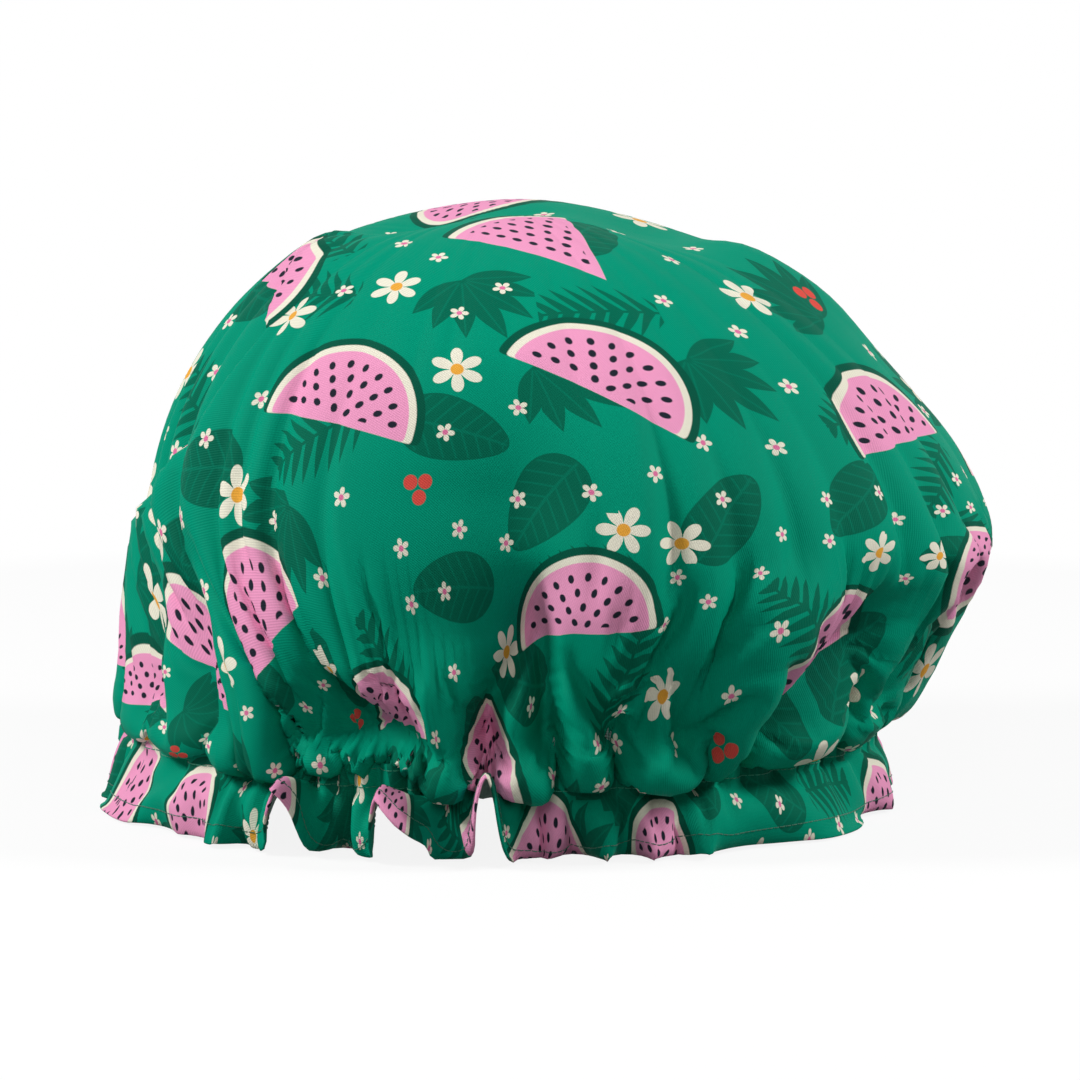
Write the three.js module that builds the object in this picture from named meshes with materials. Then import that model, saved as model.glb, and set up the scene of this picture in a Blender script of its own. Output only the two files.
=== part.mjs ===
// Frilled shower cap standing on its hem: a printed cloth cover, the waterproof lining inside its crown
// and the elastic ring that gathers both at the neck. Millimetres, +Z up, the cap's front towards -Y.

import * as THREE from "three";

// Neck, where the elastic gathers the cloth
const NECK_RADIUS = 122;
const ELASTIC_WIDTH = 8;
const ELASTIC_THICKNESS = 1.2;
const STITCH_MARGIN = 1;

// Cloth layers, thicker than the real cloth so that they stand as solids
const COVER_THICKNESS = 0.8;
const LINING_THICKNESS = 0.6;
const LAYER_GAP = 0.3;

// Crown: how far each side swells past the neck, how high its widest line is above the elastic,
// how full its top and its shoulder are, how soon its underside leans in to the neck,
// how far its puffs sag over the elastic, and how far the frill below hangs away from upright
const CROWN_HEIGHT = 170;
const UNDERSIDE_TUCK = 20;
const TUCK_AT_PLEAT = 0.4;
const SIDES = {
  front: { swell: 25, widest: 42, top: 0.6, shoulder: 0.56, lean: 0, sag: 26, hang: 16 },
  right: { swell: 39, widest: 56, top: 0.6, shoulder: 0.36, lean: 0.2, sag: 18, hang: 21 },
  back: { swell: 22, widest: 46, top: 0.6, shoulder: 0.56, lean: 0, sag: 23, hang: 20 },
  left: { swell: 7, widest: 22, top: 0.6, shoulder: 0.62, lean: 0, sag: 16, hang: 22 },
};

// Broad humps and hollows on top of the crown, measured from the middle of the neck
const TOP_HUMPS = [
  { x: -32, y: 5, height: -9, spread: 24 },
  { x: -74, y: -10, height: 4, spread: 22 },
  { x: 51, y: 0, height: -6, spread: 26 },
  { x: 109, y: 5, height: 6, spread: 22 },
];
const HUMPS_FROM = 90;
const HUMPS_FULL = 130;

// Broad hollows in the front of the crown: middle angle, angle to each side, heights above the elastic
// at which one starts, is deepest and ends
const HOLLOWS = [
  { angle: 0, spread: 12, depth: 18, start: 26, deepest: 52, end: 132 },
  { angle: -18, spread: 10, depth: 13, start: 0, deepest: 18, end: 44 },
];

// Frill below the elastic, which hangs between the pleats and is lifted by them
const FRILL_DEPTH = 24;
const FRILL_REST_HANG = 22;
const REST_CUT = 0.5;

// Pleats seen from the front: angle round the neck from the front towards the right, depth of the
// valley above the elastic, its climb up the crown, its drift round the crown, lift of the frill below
// and the angles over which that lift fades to the left and to the right
const FRONT_PLEATS = [
  { angle: -83, depth: 5, climb: 60, drift: 0, lift: 32, left: 7, right: 5 },
  { angle: -66, depth: 10, climb: 75, drift: -1, lift: 22, left: 6, right: 6 },
  { angle: -50, depth: 13, climb: 75, drift: -5, lift: 24, left: 4, right: 4 },
  { angle: -29.5, depth: 16, climb: 52, drift: 2, lift: 96, left: 4.2, right: 4 },
  { angle: -17, depth: 8, climb: 44, drift: 0, lift: 98, left: 1.6, right: 12 },
  { angle: -1, depth: 19, climb: 75, drift: 1, lift: 120, left: 2.4, right: 2.2 },
  { angle: 8, depth: 20, climb: 80, drift: 0, lift: 30, left: 3, right: 3 },
  { angle: 17, depth: 18, climb: 70, drift: -1, lift: 24, left: 3, right: 3 },
  { angle: 30, depth: 17, climb: 50, drift: -5, lift: 44, left: 1.5, right: 4 },
  { angle: 38, depth: 20, climb: 66, drift: 18, lift: 22, left: 4, right: 4 },
  { angle: 56, depth: 13, climb: 45, drift: 8, lift: 24, left: 5, right: 5 },
  { angle: 76, depth: 9, climb: 55, drift: 2, lift: 26, left: 6, right: 6 },
];
const ARCH_FROM = 60;
const SLOPE_FROM = 8;

// Pleats round the back, evenly spread with a little wander
const BACK_PLEATS = {
  count: 10,
  firstAngle: 95,
  lastAngle: 260,
  wander: 3,
  depth: 11,
  depthChange: 4,
  climb: 60,
  climbChange: 20,
  lift: 40,
  liftChange: 18,
  width: 5.5,
};

// Share of the way from one pleat to the next at which the cloth is drawn
const HEM_COLUMNS = [0, 0.14, 0.34, 0.66, 0.86];
const PUFF_COLUMNS = [0, 0.25, 0.5, 0.75];
const HALF_COLUMNS = [0, 0.5];
const VALLEY_SHAPE = 0.62;
const VALLEY_RISE = 9;

const neckBand = ELASTIC_WIDTH + 2 * STITCH_MARGIN;
const neckBottom = FRILL_DEPTH * Math.cos(radians(FRILL_REST_HANG)) - REST_CUT;
const neckTop = neckBottom + neckBand;

function radians(degrees) {
  return THREE.MathUtils.degToRad(degrees);
}

// All pleats in order round the neck
function pleatsRound() {
  const back = [];
  const step = (BACK_PLEATS.lastAngle - BACK_PLEATS.firstAngle) / (BACK_PLEATS.count - 1);
  for (let i = 0; i < BACK_PLEATS.count; i += 1) {
    const turn = i * step;
    back.push({
      angle: BACK_PLEATS.firstAngle + turn + BACK_PLEATS.wander * Math.sin(turn),
      depth: BACK_PLEATS.depth + BACK_PLEATS.depthChange * Math.cos(turn),
      climb: BACK_PLEATS.climb + BACK_PLEATS.climbChange * Math.sin(2 * turn),
      drift: 0,
      lift: BACK_PLEATS.lift + BACK_PLEATS.liftChange * Math.cos(3 * turn),
      left: BACK_PLEATS.width,
      right: BACK_PLEATS.width,
    });
  }
  return [...FRONT_PLEATS, ...back];
}

const pleats = pleatsRound();

// A side's value carried smoothly round the cap
function roundSides(key, angle) {
  const { front, right, back, left } = SIDES;
  const mean = (front[key] + right[key] + back[key] + left[key]) / 4;
  const foreAft = (front[key] - back[key]) / 2;
  const across = (right[key] - left[key]) / 2;
  const oval = (front[key] + back[key] - right[key] - left[key]) / 4;
  return mean + foreAft * Math.cos(angle) + across * Math.sin(angle) + oval * Math.cos(2 * angle);
}

// The stuffed crown's outline at one angle, from its top to its widest line and back in to the neck.
// Puff is 0 at a pleat and 1 midway between two pleats, where the cloth sags most over the elastic.
function crownCurves(angle, puff) {
  const reach = NECK_RADIUS + roundSides("swell", angle);
  const leaning = reach - (reach - NECK_RADIUS) * roundSides("lean", angle);
  const tuck = UNDERSIDE_TUCK * (TUCK_AT_PLEAT + (1 - TUCK_AT_PLEAT) * puff);
  const sagged = neckTop - roundSides("sag", angle) * puff;
  const widest = neckTop + roundSides("widest", angle);
  const top = neckTop + CROWN_HEIGHT;
  const dome = new THREE.CubicBezierCurve(
    new THREE.Vector2(0, top),
    new THREE.Vector2(reach * roundSides("top", angle), top),
    new THREE.Vector2(reach, widest + (top - widest) * roundSides("shoulder", angle)),
    new THREE.Vector2(reach, widest),
  );
  const underside = new THREE.CubicBezierCurve(
    new THREE.Vector2(reach, widest),
    new THREE.Vector2(leaning, (widest + sagged) / 2),
    new THREE.Vector2(NECK_RADIUS + tuck, sagged),
    new THREE.Vector2(NECK_RADIUS, neckTop),
  );
  return { dome, underside };
}

// A place between two pleats, as the angle round the cap at a height above the elastic
function columnAngle(index, share, height) {
  const drifted = (pleat) => pleat.angle + pleat.drift * Math.min(height / pleat.climb, 1);
  const here = drifted(pleats[index]);
  const next = drifted(pleats[(index + 1) % pleats.length]) + (index + 1 === pleats.length ? 360 : 0);
  return radians(here + (next - here) * share);
}

function nearestPleat(index, share) {
  return pleats[share < 0.5 ? index : (index + 1) % pleats.length];
}

function around(angle, radius, z) {
  return new THREE.Vector3(radius * Math.sin(angle), -radius * Math.cos(angle), z);
}

// How far the broad hollows draw the crown in, by angle and by height above the elastic
function hollowDepth(angle, height) {
  let depth = 0;
  for (const hollow of HOLLOWS) {
    const aside = (THREE.MathUtils.radToDeg(angle) - hollow.angle) / hollow.spread;
    const rising = THREE.MathUtils.smoothstep(height, hollow.start, hollow.deepest);
    const fading = 1 - THREE.MathUtils.smoothstep(height, hollow.deepest, hollow.end);
    depth += hollow.depth * Math.exp(-(aside ** 2)) * rising * fading;
  }
  return depth;
}

// A point of the crown raised or sunk by the humps on its top
function humped(point) {
  const high = THREE.MathUtils.clamp((point.z - neckTop - HUMPS_FROM) / (HUMPS_FULL - HUMPS_FROM), 0, 1);
  let rise = 0;
  for (const hump of TOP_HUMPS) {
    const away = Math.hypot(point.x - hump.x, point.y - hump.y) / hump.spread;
    rise += hump.height * Math.exp(-(away ** 2));
  }
  point.z += rise * high;
  return point;
}

// A point of the crown, drawn in along the valleys that rise from the pleats
function crownPoint(index, share, curveName, at) {
  const puff = Math.sin(Math.PI * share) ** VALLEY_SHAPE;
  const levelAngle = columnAngle(index, share, 0);
  const height = crownCurves(levelAngle, puff)[curveName].getPoint(at).y - neckTop;
  const risen = Math.max(height, 0);
  const angle = columnAngle(index, share, risen);
  const outline = crownCurves(angle, puff)[curveName].getPoint(at);
  const pleat = nearestPleat(index, share);
  const fading = THREE.MathUtils.clamp(1 - (risen - VALLEY_RISE) / pleat.climb, 0, 1);
  const valley = pleat.depth * (1 - puff) * Math.min(risen / VALLEY_RISE, 1) * fading;
  const inward = valley + hollowDepth(angle, outline.y - neckTop);
  return humped(around(angle, outline.x - inward, outline.y));
}

// A point of the frill's edge, which hangs between the pleats and swings up over each of them.
// A frill that is lifted high stands as an arch or runs down in a long slope, and one lifted a little
// is a soft wave.
function hemPoint(index, share) {
  const pleat = nearestPleat(index, share);
  const angle = columnAngle(index, share, 0);
  const crest = columnAngle(index, Math.round(share), 0);
  const fade = angle < crest ? pleat.left : pleat.right;
  const fromCrest = Math.min(Math.abs(angle - crest) / radians(fade), 1);
  const arch = fade > SLOPE_FROM ? 1 - fromCrest : Math.sqrt(1 - fromCrest ** 2);
  const wave = Math.cos((fromCrest * Math.PI) / 2) ** 2;
  const raised = pleat.lift > ARCH_FROM ? arch : wave;
  const hang = roundSides("hang", angle);
  const swing = radians(hang + (pleat.lift - hang) * raised);
  return around(
    angle,
    NECK_RADIUS + FRILL_DEPTH * Math.sin(swing),
    neckBottom - FRILL_DEPTH * Math.cos(swing),
  );
}

// Rows of the cloth from the top of the crown to the hem. Each place round a row is counted in pleats.
function row(columns, pleatStep, point) {
  const places = [];
  for (let index = 0; index < pleats.length; index += pleatStep) {
    for (const share of columns) {
      places.push({ at: index + share, point: point(index, share) });
    }
  }
  return places;
}

const crownRow = (columns, pleatStep, curveName, at) =>
  row(columns, pleatStep, (index, share) => crownPoint(index, share, curveName, at));

const ringRow = (radius, z) =>
  row(HALF_COLUMNS, 1, (index, share) => around(columnAngle(index, share, 0), radius, z));

const crownTop = [{ at: 0, point: humped(new THREE.Vector3(0, 0, neckTop + CROWN_HEIGHT)) }];
const crownRows = [
  crownTop,
  crownRow([0], 2, "dome", 0.22),
  crownRow([0], 1, "dome", 0.42),
  crownRow([0], 1, "dome", 0.6),
  crownRow(HALF_COLUMNS, 1, "dome", 0.78),
  crownRow(HALF_COLUMNS, 1, "dome", 1),
  crownRow(PUFF_COLUMNS, 1, "underside", 0.28),
  crownRow(PUFF_COLUMNS, 1, "underside", 0.56),
  crownRow(PUFF_COLUMNS, 1, "underside", 0.82),
];
const neckRows = [ringRow(NECK_RADIUS, neckTop), ringRow(NECK_RADIUS, neckBottom)];
const hemRow = row(HEM_COLUMNS, 1, hemPoint);

// Triangles between two neighbouring rows, stepping on along whichever row lags behind
function stitchRows(upper, lower, triangles) {
  const place = (ring, i) => (i < ring.length ? ring[i].at : ring[0].at + pleats.length);
  const vertex = (ring, i) => ring[i % ring.length].vertex;
  let u = 0;
  let l = 0;
  while (u < upper.length || l < lower.length) {
    const lowerLags = u >= upper.length || (l < lower.length && place(lower, l + 1) <= place(upper, u + 1));
    if (lowerLags) {
      triangles.push(vertex(upper, u), vertex(lower, l), vertex(lower, l + 1));
      l += 1;
    } else {
      if (upper.length > 1) {
        triangles.push(vertex(upper, u), vertex(lower, l), vertex(upper, u + 1));
      }
      u += 1;
    }
  }
}

// A sheet through rows of points, each row joined to the next
function sheetThrough(rows) {
  const positions = [];
  const triangles = [];
  for (const places of rows) {
    for (const place of places) {
      place.vertex = positions.length / 3;
      positions.push(...place.point.toArray());
    }
  }
  for (let i = 0; i + 1 < rows.length; i += 1) {
    stitchRows(rows[i], rows[i + 1], triangles);
  }
  return { positions, triangles };
}

function geometryOf(positions, triangles) {
  const geometry = new THREE.BufferGeometry();
  geometry.setAttribute("position", new THREE.Float32BufferAttribute(positions, 3));
  geometry.setIndex(triangles);
  geometry.computeVertexNormals();
  return geometry;
}

const clothRows = [...crownRows, ...neckRows, hemRow];
const { positions, triangles } = sheetThrough(clothRows);
const cloth = geometryOf(positions, triangles);

// A closed layer of the cloth down to its last row, between two depths under the cover's outside
function clothLayer(rows, outerDepth, innerDepth) {
  const position = cloth.getAttribute("position");
  const normal = cloth.getAttribute("normal");
  const edge = rows[rows.length - 1];
  const count = edge[edge.length - 1].vertex + 1;
  const points = [];
  for (const depth of [outerDepth, innerDepth]) {
    for (let i = 0; i < count; i += 1) {
      const point = new THREE.Vector3().fromBufferAttribute(position, i);
      const outward = new THREE.Vector3().fromBufferAttribute(normal, i);
      point.addScaledVector(outward, -depth);
      point.z = Math.max(point.z, 0);
      points.push(...point.toArray());
    }
  }
  const sheet = [];
  for (let i = 0; i + 1 < rows.length; i += 1) {
    stitchRows(rows[i], rows[i + 1], sheet);
  }
  const faces = [...sheet];
  for (let i = 0; i < sheet.length; i += 3) {
    faces.push(sheet[i] + count, sheet[i + 2] + count, sheet[i + 1] + count);
  }
  edge.forEach((place, i) => {
    const here = place.vertex;
    const next = edge[(i + 1) % edge.length].vertex;
    faces.push(here, here + count, next, next, here + count, next + count);
  });
  return geometryOf(points, faces);
}

// Printed polyester cover, from the top of the crown down to the hem
function outerCover() {
  const material = new THREE.MeshStandardMaterial({ color: 0x069070, roughness: 0.55, metalness: 0 });
  const mesh = new THREE.Mesh(clothLayer(clothRows, 0, COVER_THICKNESS), material);
  mesh.name = "outer_cover";
  return mesh;
}

// White waterproof film, which follows the cover's inside down to the lower edge of the neck
function waterproofLining() {
  const material = new THREE.MeshStandardMaterial({ color: 0xeef1ee, roughness: 0.35, metalness: 0 });
  const outerDepth = COVER_THICKNESS + LAYER_GAP;
  const rows = [...crownRows, ...neckRows];
  const mesh = new THREE.Mesh(clothLayer(rows, outerDepth, outerDepth + LINING_THICKNESS), material);
  mesh.name = "waterproof_lining";
  return mesh;
}

// Ribbed elastic, a flat ring sewn inside the neck between two rows of stitching
function elasticBand() {
  const material = new THREE.MeshStandardMaterial({ color: 0xf2f2f4, roughness: 0.8, metalness: 0 });
  const outer = NECK_RADIUS - COVER_THICKNESS - LINING_THICKNESS - 2 * LAYER_GAP;
  const inner = outer - ELASTIC_THICKNESS;
  const top = neckTop - STITCH_MARGIN;
  const bottom = neckBottom + STITCH_MARGIN;
  const rows = [ringRow(outer, top), ringRow(outer, bottom), ringRow(inner, bottom), ringRow(inner, top)];
  const section = sheetThrough(rows);
  stitchRows(rows[rows.length - 1], rows[0], section.triangles);
  const mesh = new THREE.Mesh(geometryOf(section.positions, section.triangles), material);
  mesh.name = "elastic_band";
  return mesh;
}

// The cap stands with the middle of its outline over the origin
const cap = new THREE.Group();
cap.add(outerCover(), waterproofLining(), elasticBand());
const middle = new THREE.Box3().setFromObject(cap).getCenter(new THREE.Vector3());
cap.position.set(-middle.x, -middle.y, 0);

export default cap;
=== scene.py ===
import math
from functools import partialmethod

import bpy
import numpy as np
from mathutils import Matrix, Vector


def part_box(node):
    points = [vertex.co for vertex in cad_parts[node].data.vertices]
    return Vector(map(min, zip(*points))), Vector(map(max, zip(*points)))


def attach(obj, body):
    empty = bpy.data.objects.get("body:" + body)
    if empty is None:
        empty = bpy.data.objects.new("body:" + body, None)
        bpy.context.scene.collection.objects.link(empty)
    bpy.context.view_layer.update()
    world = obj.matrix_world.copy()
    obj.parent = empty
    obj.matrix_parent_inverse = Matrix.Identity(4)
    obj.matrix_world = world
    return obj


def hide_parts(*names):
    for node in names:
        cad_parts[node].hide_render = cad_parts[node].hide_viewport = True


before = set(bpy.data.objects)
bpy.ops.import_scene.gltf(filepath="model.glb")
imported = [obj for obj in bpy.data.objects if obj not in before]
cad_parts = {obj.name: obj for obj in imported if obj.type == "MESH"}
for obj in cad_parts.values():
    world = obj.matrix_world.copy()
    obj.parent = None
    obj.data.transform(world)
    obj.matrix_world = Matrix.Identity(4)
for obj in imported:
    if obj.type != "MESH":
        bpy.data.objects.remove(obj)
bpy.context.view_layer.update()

# Outer cover: cut and gathers
# One circle of printed polyester twill. The elastic gathers it into a puffed crown above and a frill below,
# and pleats run from the neck up into the crown and down to the hem.
elastic_low, elastic_high = (np.array(corner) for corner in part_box("elastic_band"))
NECK_X, NECK_Y = ((elastic_low + elastic_high) / 2)[:2]
BAND_INSET, BAND_MARGIN = 0.002, 0.001
NECK_RADIUS = (elastic_high[0] - elastic_low[0]) / 2 + BAND_INSET
NECK_TOP = elastic_high[2] + BAND_MARGIN
NECK_BOTTOM = elastic_low[2] - BAND_MARGIN
CROWN_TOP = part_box("outer_cover")[1][2]
# Each of these goes by sides: front, right, back, left
SWELL = (0.025, 0.041, 0.022, 0.005)
WIDEST = (0.042, 0.056, 0.046, 0.022)
SHOULDER = (0.56, 0.27, 0.56, 0.68)
UNDER_CUT = (0, 0.5, 0, 0)
SAG = (0.026, 0.018, 0.023, 0.016)
TOP_SPAN = 0.6
UNDERSIDE_TUCK = 0.020
FRILL_DEPTH = 0.0245
VALLEY_SHAPE = 0.62
VALLEY_RISE = 0.009
UNDERSIDE_RUN = 0.06
# Pleats seen in front: angle, depth, climb up the crown, lift of the frill, and its widths left and right.
# Depth and climb count only at the sides, where the drawn folds of the crown end.
FRONT_PLEATS = [
    (-83, 0.005, 0.060, 27, 7, 5),
    (-66, 0.010, 0.075, 22, 6, 6),
    (-50, 0.012, 0.075, 24, 4, 4),
    (-31.5, 0.015, 0.050, 98, 3.6, 3.4),
    (-17, 0.018, 0.050, 98, 1.6, 12),
    (-2, 0.021, 0.080, 120, 2.6, 2.2),
    (8, 0.021, 0.085, 30, 3, 3),
    (17, 0.018, 0.070, 24, 3, 3),
    (30, 0.016, 0.050, 44, 1.5, 4),
    (38, 0.020, 0.070, 22, 4, 4),
    (56, 0.013, 0.050, 24, 5, 5),
    (76, 0.010, 0.060, 26, 6, 6),
]
round_back = np.linspace(0, 165, 10)
BACK_PLEATS = np.column_stack([
    95 + round_back + 3 * np.sin(round_back),
    0.011 + 0.004 * np.cos(round_back),
    0.060 + 0.020 * np.sin(2 * round_back),
    40 - 18 * np.cos(3 * round_back),
    5.5 + 0 * round_back,
    5.5 + 0 * round_back,
])
# Pleats at the right hang down, and one at the back on the left stands out level
BACK_PLEATS[:3, 3] = 20
BACK_PLEATS[8, 3] = 98
pleat_table = np.vstack([FRONT_PLEATS, BACK_PLEATS]).T
pleat_angle, pleat_depth, pleat_climb, pleat_lift, pleat_left, pleat_right = pleat_table
# How closely the cloth is gathered at each angle of the neck
GATHER_ANGLES = (-83, -50, -42, 0, 10, 32, 48, 80, 110, 250, 277)
GATHER_DENSITY = (0.75, 0.75, 1.5, 1.5, 1.1, 1.0, 0.75, 0.75, 1.0, 1.0, 0.75)
# How full the frill is at each angle; its wide panels at the sides are nearly smooth
FULL_ANGLES = (-83, -77, -46, -40, 26, 34, 105, 125, 250, 277)
FRILL_FULLNESS = (0.7, 0.12, 0.12, 1.0, 1.0, 0.12, 0.12, 1.0, 1.0, 0.7)
# How far the frill hangs away from upright at each angle, and how much it curls down towards the hem
HANG_ANGLES = (-83, -70, -50, -30, 0, 30, 55, 75, 90, 110, 180, 250, 268, 277)
FRILL_HANG = (27, 30, 36, 20, 17, 22, 26, 20, 14, 14, 20, 20, 24, 27)
FRILL_CURL = (8, 12, 30, 36, 36, 36, 36, 34, 32, 30, 30, 26, 12, 8)
# Pleats lifted past this stand out level as arches, and one of them slopes down on its wide side
LEVEL_LIFT, LEVEL_FADE = 60, 20
WIDE_SIDE = 8
FAN_HEIGHT = 0.09
LEAST_HEIGHT = 0.0014
COLUMNS = 440
DOME_ROWS, UNDERSIDE_ROWS, NECK_ROWS, FRILL_ROWS = 42, 32, 6, 14
FINE_GATHERS, SOFT_FOLDS = 72, 40
GATHER_HEIGHT, GATHER_REACH = 0.0065, 0.018
# Folds reach further up the crown in front than at the back
FOLD_HEIGHT, FOLD_START = 0.024, 0.005
FOLD_REACH, FRONT_EXTRA_REACH = 0.04, 0.03
FRILL_WAVES, RIPPLE_REACH = 0.5, 0.012
chance = np.random.RandomState(4)

neck_turn = np.linspace(pleat_angle[0], pleat_angle[0] + 360, 3601)
gathered = np.cumsum(np.interp(neck_turn, GATHER_ANGLES, GATHER_DENSITY))
gathered = (gathered - gathered[0]) / (gathered[-1] - gathered[0])
cloth_share = np.arange(COLUMNS) / COLUMNS
level = np.interp(cloth_share, gathered, neck_turn)
fanned = 360 * (cloth_share - np.interp(0, neck_turn, gathered))
left_pleat = np.clip(np.searchsorted(pleat_angle, level, side="right") - 1, 0, len(pleat_angle) - 1)
right_pleat = (left_pleat + 1) % len(pleat_angle)
full_turn = np.where(right_pleat == 0, 360, 0)
share = (level - pleat_angle[left_pleat]) / (pleat_angle[right_pleat] + full_turn - pleat_angle[left_pleat])
nearest_pleat = np.where(share < 0.5, left_pleat, right_pleat)
puff = np.sin(np.pi * share) ** VALLEY_SHAPE
fullness = np.interp(level, FULL_ANGLES, FRILL_FULLNESS)

# A pocket under the left puffs, where the cloth falls away from a bent edge
POCKET_ANGLES = (-28, -8)
POCKET_INSET = 4
POCKET_TOP, POCKET_DEPTH = 0.069, 0.026
POCKET_SLOPE, POCKET_SPAN = 0.0014, 30
POCKET_EDGE, POCKET_SOFTNESS = 0.008, 3
POCKET_FLAT = 0.75
left_of_pocket = np.exp(POCKET_ANGLES[0] - level)
right_of_pocket = np.exp(level - POCKET_ANGLES[1] + POCKET_INSET)
in_pocket = 1 / (1 + left_of_pocket) / (1 + right_of_pocket)


def by_side(sides, angle):
    front, right, back, left = sides
    return (
        (front + right + back + left) / 4
        + (front - back) / 2 * np.cos(angle)
        + (right - left) / 2 * np.sin(angle)
        + (front + back - right - left) / 4 * np.cos(2 * angle)
    )


def bezier(points, t):
    a, b, c, d = points
    return (1 - t) ** 3 * a + 3 * (1 - t) ** 2 * t * b + 3 * (1 - t) * t**2 * c + t**3 * d


def crown_outline(angle, zone, t):
    reach = NECK_RADIUS + by_side(SWELL, angle)
    widest = NECK_TOP + by_side(WIDEST, angle)
    if zone == "dome":
        shoulder = widest + (CROWN_TOP - widest) * by_side(SHOULDER, angle)
        radius = bezier((0, reach * TOP_SPAN, reach, reach), t)
        return radius, bezier((CROWN_TOP, CROWN_TOP, shoulder, widest), t)
    sag = by_side(SAG, angle) * puff * (1 - POCKET_FLAT * in_pocket)
    tuck = UNDERSIDE_TUCK * (0.4 + 0.6 * puff)
    leaning = reach - (reach - NECK_RADIUS) * by_side(UNDER_CUT, angle)
    radius = bezier((reach, leaning, NECK_RADIUS + tuck, NECK_RADIUS), t)
    return radius, bezier((widest, (widest + NECK_TOP - sag) / 2, NECK_TOP - sag, NECK_TOP), t)


def column_angle(height):
    fan = np.clip(height / FAN_HEIGHT, 0, 1)
    return np.radians(level + (fanned - level) * fan**2 * (3 - 2 * fan))


def around(angle, radius, z):
    x, y = NECK_X + radius * np.sin(angle), NECK_Y - radius * np.cos(angle)
    return np.stack([x, y, z + 0 * angle], axis=-1)


def uneven_waves(count):
    widths = 0.6 + 0.8 * chance.rand(count)
    edges = np.concatenate([[0], np.cumsum(widths)]) / widths.sum()
    wave = np.clip(np.searchsorted(edges, cloth_share, side="right") - 1, 0, count - 1)
    inside = (cloth_share - edges[wave]) / (edges[wave + 1] - edges[wave])
    edge_depth = 0.4 + 0.6 * chance.rand(count + 1)
    depth = edge_depth[wave] + (edge_depth[wave + 1] - edge_depth[wave]) * inside
    return depth * (1 - np.sin(np.pi * inside) ** 0.8)


gathers = GATHER_HEIGHT * uneven_waves(FINE_GATHERS)
folds = FOLD_HEIGHT * uneven_waves(SOFT_FOLDS)

# Bumps and dips near the top of the crown: x, y, height and width
TOP_BUMPS = [
    (-0.043, 0.005, -0.011, 0.024),
    (-0.076, -0.010, 0.006, 0.022),
    (-0.006, 0.000, -0.004, 0.013),
    (0.036, 0.000, -0.006, 0.024),
    (0.068, 0.002, 0.005, 0.018),
    (0.098, 0.005, 0.006, 0.022),
    (0.122, 0.000, -0.005, 0.020),
]
BUMPS_FROM, BUMPS_FADE = 0.12, 0.04
# A crease on the left shoulder, by its angle at each height
CREASE_HEIGHTS = (0.095, 0.104, 0.137, 0.165, 0.190)
CREASE_ANGLES = (-90, -74, -57, -52, -74)
CREASE_RISE, CREASE_DROP, CREASE_STEP = 0.005, 0.007, 0.006
CREASE_LOW, CREASE_HIGH, CREASE_FADE = 0.085, 0.198, 0.02
CREASE_FRONT, CREASE_BACK = 0.030, 0.060
# Folds of the lower crown in front: depth, widths on the left and right, then angles at heights going up
FOLDS = [
    (0.010, 0.018, 0.012, (-68, -68, -66), (0.030, 0.060, 0.105)),
    (0.014, 0.016, 0.016, (-50, -53, -56), (0.030, 0.060, 0.105)),
    (0.016, 0.008, 0.012, (-30, -28, -27), (0.030, 0.060, 0.084)),
    (0.018, 0.014, 0.008, (-14, -13, -16), (0.028, 0.045, 0.072)),
    (0.026, 0.012, 0.007, (-2, -2, 1.4, 4.5, 7), (0.028, 0.052, 0.062, 0.073, 0.105)),
    (0.028, 0.012, 0.004, (7, 7, 6.5), (0.026, 0.060, 0.100)),
    (0.023, 0.010, 0.010, (19.5, 15.5, 10.5, 8), (0.026, 0.045, 0.065, 0.090)),
    (0.017, 0.005, 0.006, (22.5, 20.5, 18), (0.026, 0.042, 0.070)),
    (0.019, 0.006, 0.010, (28, 25, 21.5), (0.026, 0.042, 0.074)),
    (0.026, 0.004, 0.020, (33, 39, 47, 52, 58), (0.026, 0.040, 0.056, 0.069, 0.100)),
    (0.016, 0.006, 0.007, (44.5, 46.5, 49), (0.026, 0.040, 0.066)),
    (0.016, 0.008, 0.012, (62, 66, 68), (0.028, 0.042, 0.080)),
]
FOLD_FADE, FOLD_SHARPNESS = 0.035, 1.4
FRONT_EDGE, FRONT_FADE = 84, 12
# A broad hollow in the middle of the front, which runs down into the deepest crease
HOLLOW_HEIGHTS = (0.055, 0.078, 0.120, 0.165)
HOLLOW_DEPTHS = (0.0, 0.020, 0.017, 0.0)
HOLLOW_ANGLE = 1.5
HOLLOW_LEFT, HOLLOW_RIGHT = 0.038, 0.024


def uneven_crown(rows):
    x, y, z = (rows[..., k].copy() for k in range(3))
    for bump_x, bump_y, bump_height, bump_width in TOP_BUMPS:
        far = ((x - bump_x) ** 2 + (y - bump_y) ** 2) / bump_width**2
        rows[..., 2] += bump_height * np.exp(-far) * np.clip((z - BUMPS_FROM) / BUMPS_FADE, 0, 1)
    radius = np.hypot(x - NECK_X, y - NECK_Y)
    angle = np.degrees(np.arctan2(x - NECK_X, NECK_Y - y))
    beyond = np.radians(np.interp(z, CREASE_HEIGHTS, CREASE_ANGLES) - angle) * radius
    ends = np.clip((z - CREASE_LOW) / CREASE_FADE, 0, 1) * np.clip((CREASE_HIGH - z) / CREASE_FADE, 0, 1)
    step = np.clip(beyond / CREASE_STEP, 0, 1)
    step = CREASE_RISE - (CREASE_RISE + CREASE_DROP) * step**2 * (3 - 2 * step)
    step *= ends * np.exp(-np.where(beyond < 0, -beyond / CREASE_FRONT, beyond / CREASE_BACK))
    rows[..., 0] += step * (x - NECK_X) / (radius + 1e-9)
    rows[..., 1] += step * (y - NECK_Y) / (radius + 1e-9)
    return rows


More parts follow.
